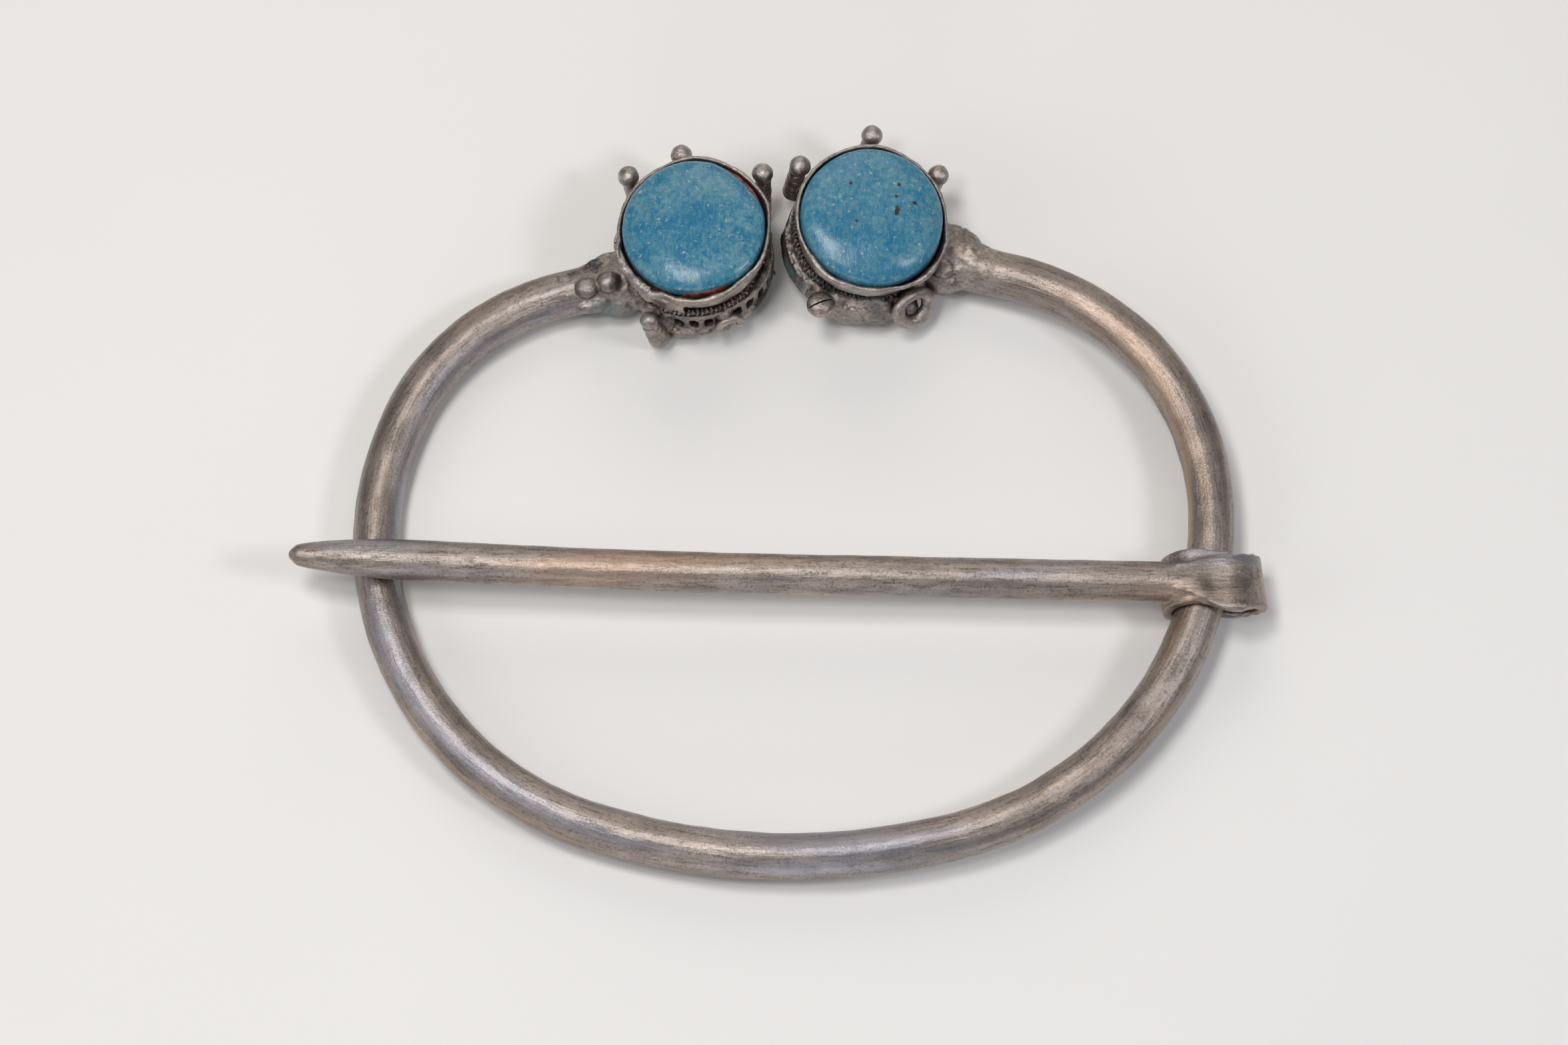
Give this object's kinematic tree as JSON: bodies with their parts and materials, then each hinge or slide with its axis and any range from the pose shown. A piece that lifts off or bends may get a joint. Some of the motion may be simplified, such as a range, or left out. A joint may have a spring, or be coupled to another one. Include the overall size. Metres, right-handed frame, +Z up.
{
  "type": "penannular fibula brooch",
  "caption": "Open oval wire hoop with drum terminals holding domed blue stones, and a loose swinging pin wrapped round the hoop, lying on its back.",
  "frame": {"origin": "under the middle of the whole brooch, on the surface that it lies on", "axes": "+X along the pin, from its point to its head on the hoop; +Y from the pin towards the two terminals; +Z up, out of the stones' faces"},
  "size_m": [0.0786, 0.0632, 0.0101],
  "materials": {
    "tarnished_silver": "hand-worked silver, warm grey-brown tarnish, rubbed bright along the ridges",
    "dark_silver": "silver gone nearly black in the recesses, with traces of green corrosion",
    "blue_stone": "opaque turquoise blue, mottled and pitted, with a soft satin polish",
    "red_lac": "brick-red setting lac"
  },
  "bodies": {
    "ring": {"hoop": "tarnished_silver", "left_base_plate": "tarnished_silver", "left_gallery": "dark_silver", "left_bezel_cup": "tarnished_silver", "left_twisted_wire": "tarnished_silver", "left_lac_bed": "red_lac", "left_stone": "blue_stone", "left_grain_post_1": "tarnished_silver", "left_grain_post_2": "tarnished_silver", "left_grain_post_3": "tarnished_silver", "left_grain_post_4": "tarnished_silver", "left_curl": "tarnished_silver", "right_base_plate": "tarnished_silver", "right_gallery": "dark_silver", "right_bezel_cup": "tarnished_silver", "right_twisted_wire": "tarnished_silver", "right_lac_bed": "red_lac", "right_stone": "blue_stone", "right_grain_post_1": "tarnished_silver", "right_grain_post_2": "tarnished_silver", "right_grain_post_3": "tarnished_silver", "right_scroll": "tarnished_silver", "right_split_bead": "tarnished_silver"},
    "pin": {"pin": "tarnished_silver"}
  },
  "joints": [
    {"name": "pin_swing", "type": "hinge", "parent": "ring", "child": "pin", "pos_m": [0.03402, -0.00756, 0.00318], "axis": [0.2295, 0.9733, 0.004], "range_deg": [0, 352]}
  ]
}
